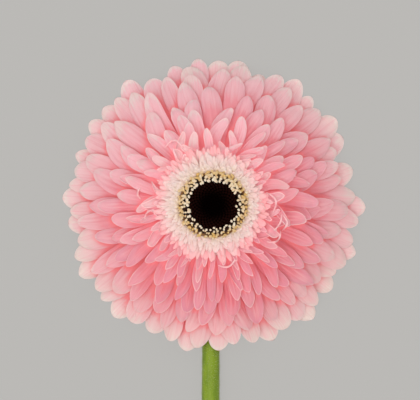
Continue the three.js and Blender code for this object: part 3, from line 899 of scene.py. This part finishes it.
def frill_material():
    """Cream floret, pink towards the petals, with fine lengthwise lines and brown specks."""
    s = Shader("frill", roughness=0.6, specular=0.2, sheen=0.1)
    s.glow((1.0, 0.62, 0.58, 1.0), s.remap(s.value("out"), 0.4, 0.8, 0.09, 0.15))
    s.translucent(0.4, (1.0, 0.8, 0.7), 0.0004)
    lines = s.streaks(s.value("side_mm"), 3.0, s.value("along"), 1.0, s.value("tone"), 2.0)
    speckle = s.times(s.remap(s.grain(1400.0, 2.0), 0.52, 0.7), s.value("speck"))
    out = s.plus(s.value("out"), s.centred(lines, 0.3))
    color = s.ramp(out, FRILL_COLORS)
    color = s.mix(speckle, color, (206, 172, 146))
    tip = s.times(s.remap(s.value("along"), 0.5, 1.0), s.remap(out, 0.5, 0.8, 0.55, 0.25))
    color = s.mix(tip, color, (245, 221, 216))
    s.bump(lines, 0.3, 0.0002)
    return s.color(color)


def off_axis(points):
    """The disc is slightly oval and a little off the axis; the frill's feet follow it."""
    share = (1 - smooth(13.0, 19.0, np.hypot(points[..., 0], points[..., 1])))[..., None]
    return points + share * (points * [0, DISC_OVAL - 1, 0] + [0, DISC_OFFSET, 0])


def out_in_frill(r):
    return (r - FRILL_FROM) / (FRILL_TO - FRILL_FROM)


def add_floret(mesh, random, row, clock):
    """One floret: a narrow pointed strap that leans out from its foot."""
    shift = FRILL_SHIFT * math.cos(math.radians(clock - FRILL_LONGEST))
    reach = row["reach"] + shift * smooth(14.0, 19.0, row["reach"]) + random.normal(0, row["ragged"])
    width = row["width"] * random.uniform(0.6, 1.3)
    t = (1 - (1 - np.linspace(0, 1, 9)) ** 1.4)[:, None]
    u = np.linspace(-1, 1, 5)[None, :]
    beyond = np.clip((t - 0.5) / 0.5, 0, 1) ** random.uniform(0.9, 1.9)
    outline = np.where(t < 0.5, 0.6 + 0.8 * t, np.sqrt(np.maximum(0, 1 - beyond)))
    flat_side = u * (width / 2 * np.maximum(0.05, outline))
    along = lerp(row["start"], reach, t)
    aside = flat_side + random.normal(0, row["lean"]) * t**1.5
    r = np.hypot(along, aside)
    turn = math.radians(clock) + np.arctan2(aside, along)
    tip = row["tip"] + random.normal(0, 0.15)
    z = lerp(row["foot"], tip, np.sin(t * math.pi / 2)) + row["arch"] * np.sin(t * math.pi)
    z = z + random.uniform(-0.15, 0.1) * width * u**2 * smooth(0, 0.5, t)
    z = z + math.tan(random.normal(0, 0.12)) * flat_side
    points = off_axis(at_clock(turn, r, z))
    out = out_in_frill(r - shift) + random.normal(0, 0.07)
    mesh.add_sheet(
        points, FLORET_HALF_THICKNESS * (1 - 0.3 * t), along=t, side_mm=flat_side, tone=clock,
        out=out, speck=row["speck"])


def build_frills(material):
    for node, rows in FRILL_ROWS.items():
        mesh = Mesh()
        for number, row in enumerate(rows):
            random = np.random.default_rng(FRILL_SEED + number)
            for i in range(row["count"]):
                clock = 360 * (i + random.uniform(-0.7, 0.7)) / row["count"]
                add_floret(mesh, random, row, clock)
        vertices, faces = turned(COLLARS[node], 72)
        vertices = off_axis(vertices)
        out = out_in_frill(np.hypot(vertices[:, 0], vertices[:, 1]))
        mesh.add(vertices, faces, along=0.2, side_mm=0.0, tone=0.0, out=out, speck=0.5)
        mesh.piece(node, "trans_cream", material)


# ---- Disc and anthers ----

DISC_RADIUS = 9.0
DISC_BUDS = 240
BUD_HEIGHTS = (36.5, 37.1)
DISC_BASE = [(POLE_RADIUS, 35.6), (9.4, 35.6), (9.4, 36.7), (5.0, 36.5), (POLE_RADIUS, 36.4)]
ANTHER_FOOT = 36.0
ANTHER_SIDES = 6
ANTHER_BASE = [(9.2, 35.5), (12.4, 35.5), (12.7, 37.0), (11.5, 37.2), (9.2, 37.0)]

# Rows of anthers: how many, their radius and its scatter, the height of their tops, their half
# width, how much longer than wide they are, and how golden they are.
ANTHER_ROWS = table(
    "count radius scatter top size long gold",
    (46, 9.35, 0.36, 38.1, 0.5, 1.25, 0.0),
    (30, 10.2, 0.25, 38.3, 0.46, 1.4, 0.25),
    (50, 11.1, 0.25, 38.2, 0.5, 1.5, 0.55),
    (50, 11.9, 0.3, 38.0, 0.52, 1.6, 0.8),
    (54, 12.6, 0.25, 37.6, 0.46, 1.6, 0.6))


def disc_material():
    """Near-black buds, maroon towards the rim of the disc."""
    s = Shader("disc", roughness=0.85, specular=0.0)
    mottle = s.grain(1500.0)
    center = s.mix(mottle, (2, 1, 1), (7, 2, 2))
    rim = s.mix(mottle, (12, 4, 3), (44, 18, 14))
    s.bump(mottle, 0.4, 0.0002)
    return s.color(s.mix(s.remap(s.value("out"), 0.35, 1.0), center, rim))


def build_disc(material):
    """Unopened florets, packed in the spiral that a flower head grows in."""
    mesh = Mesh()
    vertices, faces = ball(8, 10)
    golden = math.pi * (3 - math.sqrt(5))
    random = np.random.default_rng(SEED + 5)
    for i in range(DISC_BUDS):
        r = DISC_RADIUS * math.sqrt((i + 0.5) / DISC_BUDS)
        out = r / DISC_RADIUS
        size = random.uniform(0.5, 0.6)
        centre = off_axis(at_clock(i * golden, r, lerp(*BUD_HEIGHTS, out**2)))
        mesh.add(vertices * [size, size, size * 1.3] + centre, faces, out=out)
    vertices, faces = turned(DISC_BASE, 48)
    mesh.add(off_axis(vertices), faces, out=0.3)
    mesh.piece("disc_florets", "disc_maroon", material)


def pollen_material():
    """Cream to gold pollen grains, clumped."""
    s = Shader("pollen", roughness=0.75, specular=0.15)
    s.translucent(0.3, (1.0, 0.8, 0.6), 0.0003)
    grains = s.grain(2600.0)
    cream = s.mix(grains, (222, 196, 164), (252, 240, 220))
    gold = s.mix(grains, (186, 134, 66), (246, 210, 138))
    s.bump(grains, 0.5, 0.0003)
    return s.color(s.mix(s.value("gold"), cream, gold))


def tube_material():
    """Brown anther tubes, tan towards the frill."""
    s = Shader("tubes", roughness=0.6, specular=0.2)
    mottle = s.grain(900.0)
    dark = s.mix(mottle, (26, 10, 7), (72, 40, 26))
    tan = s.mix(mottle, (92, 54, 28), (176, 126, 76))
    s.bump(mottle, 0.4, 0.0002)
    return s.color(s.mix(s.remap(s.value("out"), 10.9, 12.2), dark, tan))


def add_anther(mesh, random, row, clock):
    """A brown tube with a cap of pollen on it."""
    r = row["radius"] + random.normal(0, row["scatter"])
    top = row["top"] + random.normal(0, 0.25)
    size = row["size"] * random.uniform(0.8, 1.15) * (1 + 0.14 * math.cos(clock))
    foot = off_axis(at_clock(clock, r + 0.3, ANTHER_FOOT))
    head = off_axis(at_clock(clock, r, top))
    around = np.arange(ANTHER_SIDES) * TURN / ANTHER_SIDES
    circle = np.stack([np.cos(around), np.sin(around), 0 * around], axis=1)
    stem = np.concatenate([foot + 0.3 * size * circle, head + 0.7 * size * circle])
    mesh.add(stem, flipped(ring_faces(2, ANTHER_SIDES)), slot=1, gold=0.0, out=r)
    vertices, faces = ball(6, 8)
    shape = vertices * [size, size * row["long"] * random.uniform(0.7, 1.4), size * 0.85]
    lean = -clock + random.normal(0, 0.9)
    cap = shape @ rotation(lean, random.normal(0, 0.4)).T + head
    gold = np.clip(row["gold"] + random.normal(0, 0.2), 0, 1)
    mesh.add(cap, faces, gold=gold, out=r)


def build_anthers(pollen, tubes):
    mesh = Mesh()
    random = np.random.default_rng(SEED + 9)
    for row in ANTHER_ROWS:
        for i in range(row["count"]):
            clock = TURN * (i + random.uniform(-0.4, 0.4)) / row["count"]
            add_anther(mesh, random, row, clock)
    vertices, faces = turned(ANTHER_BASE, 60)
    out = np.hypot(vertices[:, 0], vertices[:, 1])
    mesh.add(off_axis(vertices), faces, slot=1, gold=0.0, out=out)
    mesh.piece("anther_ring", "anther_gold", pollen, tubes)


# ---- Stalk ----

BEND_START = -STALK_BEND_RADIUS * math.sin(STALK_BEND_ANGLE)
STALK_STRAIGHT = STALK_LENGTH + BEND_START
STALK_RUN = STALK_STRAIGHT + STALK_BEND_RADIUS * STALK_BEND_ANGLE
STALK_TOP = RECEPTACLE_BOTTOM - 0.1
STALK_ROWS = 150
STALK_SIDES = 32
STALK_RIBS = 7
STALK_HAIRS = 5200
HAIR_RADIUS = 0.05


def stalk_material():
    """Yellow-green skin with faint lengthwise streaks, paler blotches, and pith at the cut."""
    s = Shader("stalk", roughness=0.5, specular=0.3, sheen=0.08)
    s.translucent(0.2, (0.6, 1.0, 0.3), 0.0006)
    along = s.value("along_mm")
    around = s.value("around_mm")
    streaks = s.streaks(around, 1.6, along, 0.05, 0.0, 4.0)
    blotches = s.streaks(around, 0.25, along, 0.12, 3.0, 3.0)
    pores = s.streaks(around, 3.0, along, 1.4, 9.0, 2.0)
    color = s.mix(s.remap(blotches, 0.35, 0.65), (111, 137, 22), (131, 155, 31))
    color = s.mix(s.times(s.remap(streaks, 0.5, 0.75), 0.4), color, (144, 164, 60))
    color = s.mix(s.times(s.remap(pores, 0.6, 0.72), 0.35), color, (96, 118, 34))
    color = s.mix(s.times(s.remap(along, 26.0, 4.0), 0.5), color, (142, 158, 70))
    pith = s.mix(s.grain(3000.0, 2.0), (186, 196, 128), (226, 230, 180))
    cut = s.mix(s.remap(s.value("core"), 0.62, 0.86), pith, (120, 140, 56))
    s.bump(s.plus(streaks, s.times(pores, 0.6)), 0.35, 0.0003)
    return s.color(s.mix(s.value("cut"), color, cut))


def hair_material():
    """Short pale hairs."""
    s = Shader("stalk_hair", roughness=0.6, specular=0.3, sheen=0.2)
    return s.color(s.mix(s.grain(800.0, 1.0), (140, 160, 84), (190, 200, 150)))


def stalk_path(s):
    """Centres of the stalk and its slope at distances s from its cut end."""
    slope = np.maximum(0, s - STALK_STRAIGHT) / STALK_BEND_RADIUS
    bent = BEND_START + STALK_BEND_RADIUS * np.sin(slope)
    y = np.where(s <= STALK_STRAIGHT, s - STALK_LENGTH, bent)
    z = stalk_radius(np.minimum(y, BEND_START)) + STALK_BEND_RADIUS * (1 - np.cos(slope))
    return stalk_x(np.minimum(y, 0)), y, z, slope


def stalk_ring(path, radius, angle):
    """Points at a distance from the stalk's path, at angles round it from its side."""
    x, y, z, slope = path
    up = radius * np.sin(angle)
    across = radius * np.cos(angle)
    return np.stack([x + across, y - up * np.sin(slope), z + up * np.cos(slope)], axis=-1)


def add_stalk_end(mesh, rim, cut):
    """Closes the stalk with rings and a fan; those of the cut end dip slightly into its pith."""
    centre = rim.mean(axis=0)
    shares = (1.0, 0.96, 0.8, 0.5, 0.2)
    dips = (0.0, -0.1, 0.05, 0.2, 0.25)
    rings = [centre + (rim - centre) * share + [0, dip * cut, 0] for share, dip in zip(shares, dips)]
    vertices = np.concatenate([*rings, [centre + [0, dips[-1] * cut, 0]]])
    sides = len(rim)
    faces = ring_faces(len(shares), sides)
    last_ring = np.arange(sides) + (len(shares) - 1) * sides
    fan = np.stack([last_ring, 0 * last_ring + len(vertices) - 1, np.roll(last_ring, -1)], axis=1)
    if not cut:
        faces, fan = faces[:, ::-1], fan[:, ::-1]
    core = np.concatenate([np.repeat(shares, sides), [0.0]])
    mesh.add(vertices, faces, fan, along_mm=200.0, around_mm=0.0, cut=cut, core=core)


def add_hairs(mesh):
    """Short tapered hairs that stand off the stalk's skin."""
    random = np.random.default_rng(SEED + 21)
    s = random.uniform(1.0, STALK_RUN - 2.0, STALK_HAIRS)
    angle = random.uniform(-0.35, math.pi + 0.35, STALK_HAIRS)
    path = stalk_path(s)
    radius = stalk_radius(path[1])
    root = stalk_ring(path, 0.97 * radius, angle)
    length = random.uniform(0.35, 0.9, STALK_HAIRS)
    tip = stalk_ring(path, radius + length, angle + random.normal(0, 0.12, STALK_HAIRS))
    tip[:, 1] += random.normal(0.1, 0.25, STALK_HAIRS)
    keep = (root[:, 2] < STALK_TOP - 1.0) & (tip[:, 2] > 0.1)
    root, tip = root[keep], tip[keep]
    axis = (tip - root) / np.linalg.norm(tip - root, axis=1, keepdims=True)
    side = np.cross(axis, [0.0, 1.0, 0.0])
    side /= np.linalg.norm(side, axis=1, keepdims=True)
    across = np.cross(axis, side)
    turns = (0, TURN / 3, 2 * TURN / 3)
    corners = [root + HAIR_RADIUS * (side * math.cos(a) + across * math.sin(a)) for a in turns]
    vertices = np.stack([*corners, tip], axis=1).reshape(-1, 3)
    first = 4 * np.arange(len(root))[:, None]
    sides = [first + corner for corner in ([0, 1, 3], [1, 2, 3], [2, 0, 3], [2, 1, 0])]
    mesh.add(vertices, *sides, slot=1, along_mm=0.0, around_mm=0.0, cut=0.0, core=0.0)


def build_stalk(skin, hair):
    """A ribbed stalk that lies flat and bends up under the head, closed at both ends, with hairs."""
    mesh = Mesh()
    s = (STALK_RUN * np.linspace(0, 1, STALK_ROWS) ** 0.75)[:, None]
    angle = (np.arange(STALK_SIDES) * TURN / STALK_SIDES)[None, :]
    path = stalk_path(s)
    ribs = 0.012 * np.cos(STALK_RIBS * angle + 0.01 * s)
    swell = 0.012 * np.sin(s / 17.0 + 1.0) + 0.008 * np.sin(s / 6.1)
    rounding = -0.05 * (1 - smooth(0.0, 1.2, s))
    points = stalk_ring(path, stalk_radius(path[1]) * (0.985 + ribs + swell + rounding), angle)
    points[..., 2] = np.clip(points[..., 2], 0.06, STALK_TOP)
    walls = flipped(ring_faces(STALK_ROWS, STALK_SIDES))
    along_mm = (STALK_RUN - s) + 0 * angle
    around_mm = 4.0 * np.abs((angle + 0 * s) - math.pi)
    mesh.add(points.reshape(-1, 3), walls, along_mm=along_mm, around_mm=around_mm, cut=0.0, core=1.0)
    add_stalk_end(mesh, points[0], cut=1.0)
    add_stalk_end(mesh, points[-1], cut=0.0)
    add_hairs(mesh)
    mesh.piece("stalk", "stalk_green", skin, hair)


# ---- Receptacle, bracts and achene bed ----

RECEPTACLE_SIDES = 144
BED_SIDES = 288
BRACT_HALF_THICKNESS = 0.25

# Rows of bracts: how many, the heights of foot and tip, their width, how far they stand off the
# receptacle, and how far their tips turn outward.
BRACT_ROWS = table(
    "name count foot top width skin flare",
    ("bracts_outer", 11, 12.6, 15.6, 3.6, 3.0, 1.0),
    ("bracts_middle", 12, 12.9, 17.4, 3.8, 1.8, 1.6),
    ("bracts_inner", 13, 13.2, 19.0, 4.0, 0.6, 2.3))


def green_material(name, dusky):
    """Bract green: paler along fine lines, and reddish at the tip as far as it is dusky."""
    s = Shader(name, roughness=0.55, specular=0.3, sheen=0.3)
    along = s.value("along")
    lines = s.streaks(s.value("side_mm"), 3.0, along, 1.0, s.value("tone"), 3.0)
    color = s.mix(s.remap(s.grain(500.0), 0.35, 0.65), (92, 120, 40), (122, 148, 58))
    color = s.mix(s.times(s.remap(lines, 0.45, 0.75), 0.5), color, (154, 172, 96))
    color = s.mix(s.times(s.remap(along, 0.72, 1.0), dusky), color, (122, 74, 58))
    s.bump(lines, 0.5, 0.0003)
    return s.color(color)


def build_receptacle(material):
    """The cup that carries the head, ribbed where the bracts spring from it."""
    mesh = Mesh()
    clocks = np.arange(RECEPTACLE_SIDES) * TURN / RECEPTACLE_SIDES
    heights = np.linspace(RECEPTACLE_BOTTOM - 0.25, RECEPTACLE_TOP, 16)
    ribs = 1 - np.cos(36 * clocks)
    radii = [receptacle_radius(z) * (1 - 0.012 * up_receptacle(z) * ribs) for z in heights]
    vertices, up, faces = capped(radii, heights, clocks)
    side_mm = np.tile(14 * clocks, len(heights) + 2)
    mesh.add(vertices, faces, along=0.6 * up, side_mm=side_mm, tone=0.0)
    mesh.piece("receptacle", "head_green", material)


def add_bract(mesh, random, row, clock):
    """A keeled, pointed bract that clasps the receptacle and turns outward at its tip."""
    t = np.linspace(0, 1, 16)[:, None]
    u = np.linspace(-1, 1, 9)[None, :]
    height = lerp(row["foot"], row["top"], t * t) + random.normal(0, 0.12) * t
    radius = receptacle_radius(height) + row["skin"] + row["flare"] * t**3
    width = row["width"] * random.uniform(0.9, 1.06)
    leaf = width / 2 * np.maximum(0.02, 1 - t**2.2) ** 0.6
    foot = 0.5 * TURN / row["count"] * radius * np.maximum(0, 1 - 5 * t)
    flat_side = u * np.maximum(leaf, foot)
    keel = -0.22 * width / 4 * np.abs(u) ** 1.5 * smooth(0.1, 0.4, t)
    turn = clock + flat_side / radius + random.normal(0, 0.02) * t**2
    points = at_clock(turn, radius - keel * 0.3, height + keel + 0.05 * np.sin(9 * t) * u**2)
    thin = BRACT_HALF_THICKNESS * (1 - 0.6 * np.abs(u) ** 3) * (1 - 0.5 * t**2)
    mesh.add_sheet(points, thin, along=t, side_mm=flat_side, tone=clock)


def build_bracts(material):
    for number, row in enumerate(BRACT_ROWS):
        mesh = Mesh()
        random = np.random.default_rng(SEED + 31 + number)
        for i in range(row["count"]):
            add_bract(mesh, random, row, TURN * i / row["count"])
        mesh.piece(row["name"], "head_green", material)


def bed_material():
    """Cream achenes, green towards their feet, and towards the top painted pink light from the petals
    round them.
    """
    s = Shader("achenes", roughness=0.7, specular=0.2)
    grain = s.grain(900.0)
    along = s.value("along")
    color = s.mix(s.remap(grain, 0.35, 0.65), (206, 196, 148), (236, 226, 190))
    # Painted pink light, as if bounced from the petals, towards the top.
    color = s.mix(s.remap(along, 0.3, 0.75, 0.0, 0.75), color, (236, 152, 150))
    color = s.mix(s.remap(along, 0.45, 0.0), color, (150, 160, 92))
    s.bump(grain, 0.4, 0.0003)
    return s.color(color)


def build_bed(material):
    """The bed's achenes, seen as upright ribs."""
    mesh = Mesh()
    clocks = np.arange(BED_SIDES) * TURN / BED_SIDES
    heights = np.linspace(RECEPTACLE_TOP, BED_TOP, 24)
    radii = []
    for z in heights:
        ribs = 0.016 * np.abs(np.sin(24 * clocks + 0.5 * math.sin(z * 1.7)))
        radii.append(bed_radius(max(z, BED_FOOT)) * (0.986 + ribs))
    vertices, up, faces = capped(radii, heights, clocks)
    mesh.add(vertices, faces, along=up)
    mesh.piece("achene_bed", "achene_cream", material)


# ---- Stage and camera ----

FLOOR_HALF = 30.0
FLOOR_COLOR = (70, 69, 68)
FLOOR_LIGHT = (111, 110, 108)
FLOOR_GLOW = 2.69
SKY_COLOR = (1.0, 0.995, 0.98, 1.0)
SKY_STRENGTH = 0.70
PHOTO_WIDTH = 420
PHOTO_HEIGHT = 400
HEAD_PIXEL = (213.0, 206.8)
MM_PER_PIXEL = 0.3654
CAMERA_HEIGHT = 2000.0
OUTLINE_HEIGHT = 5.0
SENSOR_WIDTH = 36.0


def soft_sun(name, strength, angle, tilt, azimuth):
    """A sun of this angle across: its tilt from straight down, and the clock angle it comes from."""
    data = bpy.data.lights.new(name, "SUN")
    data.energy = strength
    data.angle = math.radians(angle)
    lamp = add_object(name, data)
    lamp.rotation_euler = (-math.radians(tilt), 0, -math.radians(azimuth))


def build_stage():
    """A pale paper floor, in metres, that glows a little, an even sky and two soft suns."""
    floor_mesh = bpy.data.meshes.new("floor")
    half = FLOOR_HALF
    corners = [(-half, -half, 0), (half, -half, 0), (half, half, 0), (-half, half, 0)]
    floor_mesh.from_pydata(corners, [], [(0, 1, 2, 3)])
    floor = add_object("floor", floor_mesh)
    paper = Shader("paper", roughness=0.9, specular=0.1)
    paper.glow(FLOOR_LIGHT, FLOOR_GLOW)
    floor_mesh.materials.append(paper.color(FLOOR_COLOR))

    world = bpy.data.worlds.new("studio")
    world.use_nodes = True
    background = world.node_tree.nodes["Background"]
    background.inputs["Color"].default_value = SKY_COLOR
    background.inputs["Strength"].default_value = SKY_STRENGTH
    bpy.context.scene.world = world
    bpy.context.scene.view_settings.view_transform = "Standard"

    soft_sun("key", strength=0.75, angle=40, tilt=22, azimuth=-130)
    soft_sun("top", strength=0.5, angle=90, tilt=5, azimuth=0)


def build_camera():
    """A camera straight above, with the head's axis at its place in the photograph."""
    data = bpy.data.cameras.new("camera")
    camera = add_object("camera", data)
    bpy.context.scene.camera = camera
    data.sensor_width = SENSOR_WIDTH
    data.lens = data.sensor_width * (CAMERA_HEIGHT - OUTLINE_HEIGHT) / (PHOTO_WIDTH * MM_PER_PIXEL)
    data.clip_end = 100.0
    x = AXIS_X - (HEAD_PIXEL[0] - PHOTO_WIDTH / 2) * MM_PER_PIXEL
    y = AXIS_Y + (HEAD_PIXEL[1] - PHOTO_HEIGHT / 2) * MM_PER_PIXEL
    camera.location = (x * MM, y * MM, CAMERA_HEIGHT * MM)


build_camera()
build_stage()
build_stalk(stalk_material(), hair_material())
build_receptacle(green_material("receptacle", 0.0))
build_bracts(green_material("bract", 0.8))
build_bed(bed_material())
build_petals(petal_material())
build_frills(frill_material())
build_disc(disc_material())
build_anthers(pollen_material(), tube_material())
